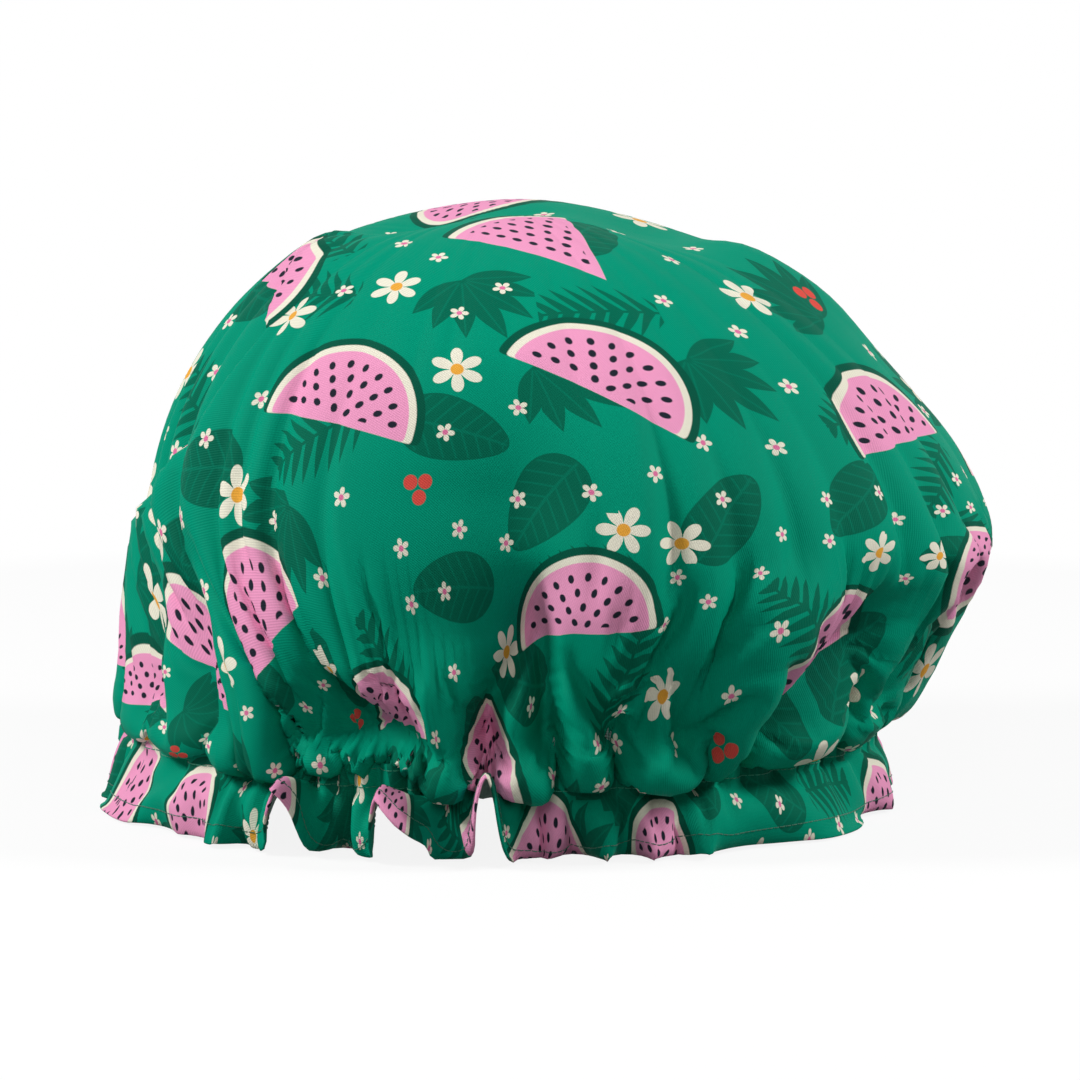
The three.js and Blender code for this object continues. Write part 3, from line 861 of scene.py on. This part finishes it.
# Waterproof lining
# A circle of milky plastic film inside the crown, gathered with the cover and ending at the elastic.
# It is a smaller bag than the cover and hangs inside its folds.
FILM_THICKNESS = 0.00012
lining_film, film_tree, film_shader = finish_material("lining_film", 0.35)
film_shader.inputs["Base Color"].default_value = colour(226, 230, 226)
film_shader.inputs["Subsurface Weight"].default_value = 0.15
film_shader.inputs["Subsurface Radius"].default_value = (0.002, 0.002, 0.002)
crinkle = film_tree.nodes.new("ShaderNodeTexNoise")
crinkle.inputs["Scale"].default_value = 180
crinkle.inputs["Detail"].default_value = 3
film_tree.links.new(position(film_tree), crinkle.inputs["Vector"])
film_tree.links.new(between(film_tree, crinkle.outputs["Fac"], 0.25, 0.5), film_shader.inputs["Roughness"])
CRINKLE_HEIGHT = 0.0006
bump(film_tree, film_shader, crinkle.outputs["Fac"], CRINKLE_HEIGHT)
FILM_COLUMNS, FILM_ROWS = 216, 44
FILM_GATHERS = 54
FILM_PLEAT = 0.005
CLEARANCE = 0.0015
FILM_MIDDLE = 0.045
FILM_START, FILM_INSET = 0.004, 0.0035
PLEAT_FADE = 0.12
inside = np.array([NECK_X, NECK_Y, NECK_TOP + FILM_MIDDLE])
lowest = -math.atan2(FILM_MIDDLE, NECK_RADIUS - FILM_START)
TURN_CELLS, TILT_CELLS = 60, 30
reach = (cloth[CROWN] - inside).reshape(-1, 3)
distance = np.linalg.norm(reach, axis=-1)
cell_turn = np.arctan2(reach[:, 0], -reach[:, 1]) / (2 * np.pi) * TURN_CELLS
cell_turn = np.floor(cell_turn).astype(int) % TURN_CELLS
tilt = np.arcsin(reach[:, 2] / distance)
cell_tilt = np.clip(((tilt - lowest) / (np.pi / 2 - lowest) * TILT_CELLS).astype(int), 0, TILT_CELLS - 1)
nearest = np.full((TILT_CELLS, TURN_CELLS), np.inf)
np.minimum.at(nearest, (cell_tilt, cell_turn), distance)
nearest[-2:] = nearest[-2:].min()
around_cell = [np.roll(nearest, shift, axis=1) for shift in (-1, 0, 1)]
nearest = np.min(around_cell, axis=0)
padded = np.pad(nearest, ((1, 1), (0, 0)), mode="edge")
nearest = np.min([padded[:-2], padded[1:-1], padded[2:]], axis=0) - CLEARANCE
film_turn = 2 * np.pi * np.arange(FILM_COLUMNS) / FILM_COLUMNS
film_cell = film_turn / (2 * np.pi) * TURN_CELLS - 0.5
film_wave = 0.5 - 0.5 * np.cos(FILM_GATHERS * film_turn)
film_share = np.linspace(0.985, 0, FILM_ROWS) ** 0.9
film_rows = []
for film_height in film_share:
    tilts = np.clip(film_height * TILT_CELLS - 0.5, 0, TILT_CELLS - 1)
    low = int(tilts)
    line = nearest[low] + (nearest[min(low + 1, TILT_CELLS - 1)] - nearest[low]) * (tilts - low)
    line = np.interp(film_cell, np.arange(-1, TURN_CELLS + 1), np.r_[line[-1], line, line[0]])
    line -= FILM_PLEAT * film_wave * math.exp(-film_height / PLEAT_FADE)
    rise = lowest + film_height * (np.pi / 2 - lowest)
    out_x, out_y = np.cos(rise) * np.sin(film_turn), -np.cos(rise) * np.cos(film_turn)
    out = np.stack([out_x, out_y, math.sin(rise) + 0 * film_turn], axis=-1)
    film_rows.append(inside + line[:, None] * out)
for height in np.linspace(NECK_TOP - BAND_MARGIN, NECK_BOTTOM + BAND_MARGIN, 4):
    film_rows.append(around(film_turn, NECK_RADIUS - FILM_INSET - FILM_PLEAT / 2 * film_wave, height))
film_top = inside + (0, 0, nearest[-1].min())
lining = add_piece(
    "waterproof_lining_film",
    np.vstack([[film_top], np.array(film_rows).reshape(-1, 3)]),
    sheet_faces(len(film_rows), FILM_COLUMNS, True),
    [lining_film],
)
film = lining.modifiers.new("thickness", "SOLIDIFY")
film.thickness = FILM_THICKNESS
film.offset = -1
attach(lining, "root")
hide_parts("waterproof_lining")

# Elastic band
# A ring of white knitted elastic, 8 mm wide, with six rubber cords that show as ribs.
# It is sewn inside the neck, and its ends overlap at the back.
RIBS = 6
RIB_HEIGHT = 0.0003
ELASTIC_COLUMNS = 320
BAND_THICKNESS = 0.0011
KNIT_LOOPS, KNIT_WALE, KNIT_HEIGHT = 900, 0.0006, 0.00015
band_outer = NECK_RADIUS - BAND_INSET
rib_share = np.linspace(0, 1, RIBS * 6 + 1)
rib_bulge = RIB_HEIGHT * (np.abs(np.sin(np.pi * RIBS * rib_share)) - 1)
band_z = elastic_low[2] + (elastic_high[2] - elastic_low[2]) * rib_share


def band_points(turns, outer):
    radius = np.concatenate([outer + rib_bulge, (outer - BAND_THICKNESS - rib_bulge)[::-1]])
    z = np.concatenate([band_z, band_z[::-1]])
    return np.array([around(np.full(len(z), turn), radius, z) for turn in turns]).reshape(-1, 3)


def tube_faces(columns, sides, closed):
    faces = []
    for column in range(columns if closed else columns - 1):
        here, there = column * sides, (column + 1) % columns * sides
        for k in range(sides):
            after = (k + 1) % sides
            faces.append((here + k, there + k, there + after, here + after))
    if not closed:
        faces += [tuple(range(sides))[::-1], tuple((columns - 1) * sides + np.arange(sides))]
    return faces


elastic_knit, knit_tree, knit_shader = finish_material("elastic_knit", 0.85)
knit_x, knit_y, knit_z = fields(knit_tree, position(knit_tree))
round_band = (knit_x - float(NECK_X)).do("ARCTAN2", knit_y * -1 + float(NECK_Y))
loops = (round_band * KNIT_LOOPS).do("SINE") * 0.5 + 0.5
wales = (knit_z * (2 * math.pi / KNIT_WALE)).do("SINE") * 0.5 + 0.5
knit = loops * 0.6 + wales * 0.4
# Painted shade in the knit: white on the loops, going to lavender grey in the grooves between them
knit_with_painted_shade = over(knit_tree, colour(206, 208, 216), colour(240, 240, 244), knit.socket)
knit_tree.links.new(knit_with_painted_shade, knit_shader.inputs["Base Color"])
bump(knit_tree, knit_shader, knit.socket, KNIT_HEIGHT)
ring_points = band_points(np.linspace(0, 2 * np.pi, ELASTIC_COLUMNS, endpoint=False), band_outer)
ring_faces = tube_faces(ELASTIC_COLUMNS, 2 * len(band_z), True)
OVERLAP, LAP_COLUMNS, LAP_GAP = 0.018, 20, 0.0002
lap_turns = np.pi + np.linspace(-0.5, 0.5, LAP_COLUMNS) * OVERLAP / band_outer
lap_points = band_points(lap_turns, band_outer - BAND_THICKNESS - LAP_GAP)
lap_faces = tube_faces(LAP_COLUMNS, 2 * len(band_z), False)
lap_faces = [tuple(len(ring_points) + np.array(face)) for face in lap_faces]
band = np.vstack([ring_points, lap_points])
elastic = add_piece("elastic_band_knit", band, ring_faces + lap_faces, [elastic_knit])
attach(elastic, "root")
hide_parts("elastic_band")

# Elastic stitching
# Two rows of green lockstitch run through cover, lining and elastic, one near each edge of the band.
# The gathers bunch the stitches up between the pleats.
STITCH = 0.0024
THREAD_RADIUS = 0.00017
THREAD_ARCH = np.array([-0.6, 0.7, 1, 1, 0.7, -0.6]) * THREAD_RADIUS
THREAD_SIDES = 6
TWIST_HEIGHT = 0.00005


def thread_finish(name, light, twist_shade):
    material, tree, shader = finish_material(name, 0.6)
    twist = tree.nodes.new("ShaderNodeTexWave")
    twist.inputs["Scale"].default_value = 900
    tree.links.new(position(tree), twist.inputs["Vector"])
    # Painted highlight and shade along the twist: the colour goes from the thread's light tone on each ply to
    # its dark tone between plies
    tree.links.new(over(tree, light, twist_shade, twist.outputs["Fac"]), shader.inputs["Base Color"])
    shader.inputs["Sheen Weight"].default_value = 0.2
    bump(tree, shader, twist.outputs["Fac"], TWIST_HEIGHT)
    return material


def sewn_row(name, path, side, material, stitch=STITCH, closed=True):
    loop = np.vstack([path, path[:1]]) if closed else path
    sides = np.vstack([side, side[:1]]) if closed else side
    along = np.concatenate([[0], np.cumsum(np.linalg.norm(np.diff(loop, axis=0), axis=-1))])
    count = int(along[-1] / stitch)
    points, faces = [], []
    for number in range(count):
        spots = (number + np.linspace(0.06, 0.94, len(THREAD_ARCH))) * along[-1] / count
        line = np.stack([np.interp(spots, along, loop[:, k]) for k in range(3)], axis=-1)
        up = np.stack([np.interp(spots, along, sides[:, k]) for k in range(3)], axis=-1)
        ahead = np.gradient(line, axis=0)
        ahead /= np.linalg.norm(ahead, axis=-1, keepdims=True)
        beside = np.cross(up, ahead)
        first = len(points)
        for spot, arch in enumerate(THREAD_ARCH):
            for corner in range(THREAD_SIDES):
                turn = math.pi * corner / 3
                offset = math.cos(turn) * beside[spot] + math.sin(turn) * up[spot]
                points.append(line[spot] + arch * up[spot] + THREAD_RADIUS * offset)
        stitch_faces = tube_faces(len(THREAD_ARCH), THREAD_SIDES, False)
        faces += [tuple(first + np.array(face)) for face in stitch_faces]
    piece = add_piece(name, points, faces, [material])
    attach(piece, "root")
    return piece


green_thread = thread_finish("green_thread", colour(34, 158, 122), colour(12, 110, 84))
cover_out = outward(cover_rows)
for name, row in (("elastic_stitching_upper", NECK.start + 1), ("elastic_stitching_lower", NECK.stop - 2)):
    seam = sewn_row(name, cover_rows[row], cover_out[row], green_thread)

# Elastic join
# The overlapped ends of the elastic are held by a dense zigzag of white thread.
# It lies at the back of the neck, on the inside.
JOIN_ZIGS, JOIN_STITCH, JOIN_MARGIN = 13, 0.0034, 0.001
white_thread = thread_finish("white_thread", colour(238, 238, 240), colour(190, 192, 198))
join_inside = band_outer - 2 * BAND_THICKNESS - LAP_GAP
zig = np.linspace(-0.4, 0.4, 2 * JOIN_ZIGS + 1)
zig_turn = np.pi + zig * OVERLAP / band_outer
zig_low, zig_high = elastic_low[2] + JOIN_MARGIN, elastic_high[2] - JOIN_MARGIN
zig_z = np.where(np.arange(len(zig)) % 2 == 0, zig_low, zig_high)
zig_path = around(zig_turn, join_inside, zig_z)
zig_side = -around(zig_turn, 1.0, 0) + (NECK_X, NECK_Y, 0)
join = sewn_row("elastic_join", zig_path, zig_side, white_thread, JOIN_STITCH, closed=False)

# Hem stitching
# One row of dark green lockstitch holds the turned hem, 6 mm above the edge.
# Its needle thread shows outside and its lower thread on the strip inside.
HEM_MARGIN = 0.006
OFF_STRIP = 0.00005
stitched = len(cloth) - 1 - HEM_MARGIN * FRILL_ROWS / FRILL_DEPTH
row = int(stitched)
seam_line = cloth[row] + (stitched - row) * (cloth[row + 1] - cloth[row])
hem_thread = thread_finish("hem_thread", colour(26, 116, 88), colour(10, 80, 60))
hem_outside = sewn_row("hem_stitching", seam_line, frill_out[row], hem_thread)
strip_line = seam_line - (2 * FOLD_RADIUS + OFF_STRIP) * frill_out[row]
hem_inside = sewn_row("hem_stitching_inside", strip_line, -frill_out[row], hem_thread)

# Studio
# A pale floor that runs back to a white backdrop, with a soft lamp at each side and a weak one in front.
# The camera looks down a little on the front of the cap, as in the photograph.
FLOOR_SIDE = 8.0
FLOOR_SEEN, FLOOR_BOUNCE = (0.95, 0.95, 0.95, 1), (0.2, 0.2, 0.2, 1)
NEAR_WHITE = 0.88
WHITE_FROM, WHITE_FADE = 0.2, 0.35
FILL_LIGHT = 0.14


def rays(tree):
    path = tree.nodes.new("ShaderNodeLightPath").outputs
    camera, glossy = Field(tree, path["Is Camera Ray"]), Field(tree, path["Is Glossy Ray"])
    return camera, camera.most(glossy).most(Field(tree, path["Is Transmission Ray"]))


floor_material, floor_tree, floor_shader = finish_material("studio_floor", 0.8)
to_camera, looked_at = rays(floor_tree)
floor_colour = over(floor_tree, FLOOR_BOUNCE, FLOOR_SEEN, to_camera.socket)
floor_tree.links.new(floor_colour, floor_shader.inputs["Base Color"])
# Away from the object the floor is seen as white as the backdrop, and near it a faint shadow stays
from_middle = length(*fields(floor_tree, position(floor_tree))[:2])
away = ((from_middle - WHITE_FROM) / WHITE_FADE).clamped()
whiteness = away.most(NEAR_WHITE) * looked_at
white = floor_tree.nodes.new("ShaderNodeEmission")
blend = floor_tree.nodes.new("ShaderNodeMixShader")
floor_tree.links.new(whiteness.socket, blend.inputs[0])
floor_tree.links.new(floor_shader.outputs[0], blend.inputs[1])
floor_tree.links.new(white.outputs[0], blend.inputs[2])
floor_tree.links.new(blend.outputs[0], floor_tree.nodes["Material Output"].inputs["Surface"])
corners = [(x * FLOOR_SIDE, y * FLOOR_SIDE, 0) for x, y in ((-1, -1), (1, -1), (1, 1), (-1, 1))]
floor = add_piece("studio_floor", corners, [(0, 1, 2, 3)], [floor_material])
world = bpy.data.worlds.new("studio")
bpy.context.scene.world = world
world.use_nodes = True
backdrop = world.node_tree.nodes["Background"]
backdrop.inputs["Color"].default_value = (1, 1, 1, 1)
brightness = rays(world.node_tree)[1] * (1 - FILL_LIGHT) + FILL_LIGHT
world.node_tree.links.new(brightness.socket, backdrop.inputs["Strength"])
LAMPS = (
    ("left", (-1.2, -0.32, 0.98), 0.4, 18),
    ("right", (1.2, -0.24, 0.98), 0.4, 15),
    ("front", (-0.1, -1.5, 0.8), 0.6, 4),
)
LIT_MIDDLE = Vector((0, 0, 0.09))
for name, place, size, power in LAMPS:
    lamp = bpy.data.lights.new(name, "AREA")
    lamp.size = size
    lamp.energy = power
    light = bpy.data.objects.new(name, lamp)
    light.location = place
    light.rotation_euler = (LIT_MIDDLE - light.location).to_track_quat("-Z", "Y").to_euler()
    bpy.context.scene.collection.objects.link(light)
CAMERA_DISTANCE = 4.0
CAMERA_TILT = math.radians(9)
FRAME_WIDTH = 0.36
AIM = np.array((0.0005, 0, 0.0867))
lens = bpy.data.cameras.new("camera")
lens.sensor_width = 36
lens.lens = 36 * CAMERA_DISTANCE / FRAME_WIDTH
camera = bpy.data.objects.new("camera", lens)
camera.location = AIM + CAMERA_DISTANCE * np.array((0, -math.cos(CAMERA_TILT), math.sin(CAMERA_TILT)))
camera.rotation_euler = (math.pi / 2 - CAMERA_TILT, 0, 0)
bpy.context.scene.collection.objects.link(camera)
bpy.context.scene.camera = camera
bpy.context.scene.view_settings.view_transform = "Standard"
